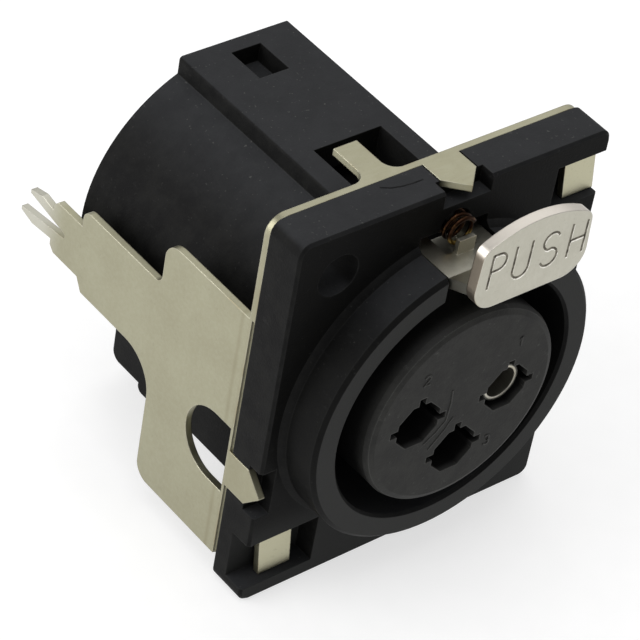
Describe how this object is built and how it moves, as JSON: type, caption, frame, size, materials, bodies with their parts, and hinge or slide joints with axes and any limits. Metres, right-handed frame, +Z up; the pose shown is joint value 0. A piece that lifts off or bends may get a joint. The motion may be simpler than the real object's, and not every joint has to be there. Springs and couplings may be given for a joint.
{
  "type": "panel connector socket",
  "caption": "Three-pole female round panel connector with a square flange, push latch and ground bracket, for upright mounting between a panel and a circuit board.",
  "frame": {"origin": "on the connector's axis, in the front face of the flange, which lies behind the panel", "axes": "-Y is the mating side, +Z is up towards the latch, +X is right seen from the front"},
  "size_m": [0.026, 0.0351, 0.0336],
  "materials": {
    "black_moulding": "fine matte",
    "black_insert": "fine matte",
    "bracket_sheet": "tinned sheet, sheared edges",
    "latch_sheet": "satin nickel",
    "spring_wire": "drawn wire",
    "contact_metal": "tinned"
  },
  "bodies": {
    "socket": {"housing": "black_moulding", "ground_bracket": "bracket_sheet", "latch_spring": "spring_wire", "contact_insert": "black_insert", "rear_cover": "black_moulding", "contact_1": "contact_metal", "contact_2": "contact_metal", "contact_3": "contact_metal"},
    "push_latch": {"latch": "latch_sheet"}
  },
  "joints": [
    {"name": "latch_push", "type": "slide", "parent": "socket", "child": "push_latch", "axis": [0, 0.8387, 0.5446], "range_m": [0, 0.0016], "stiffness_N_per_m": 800, "springref_m": -0.0025, "deforming": ["latch_spring"]}
  ]
}
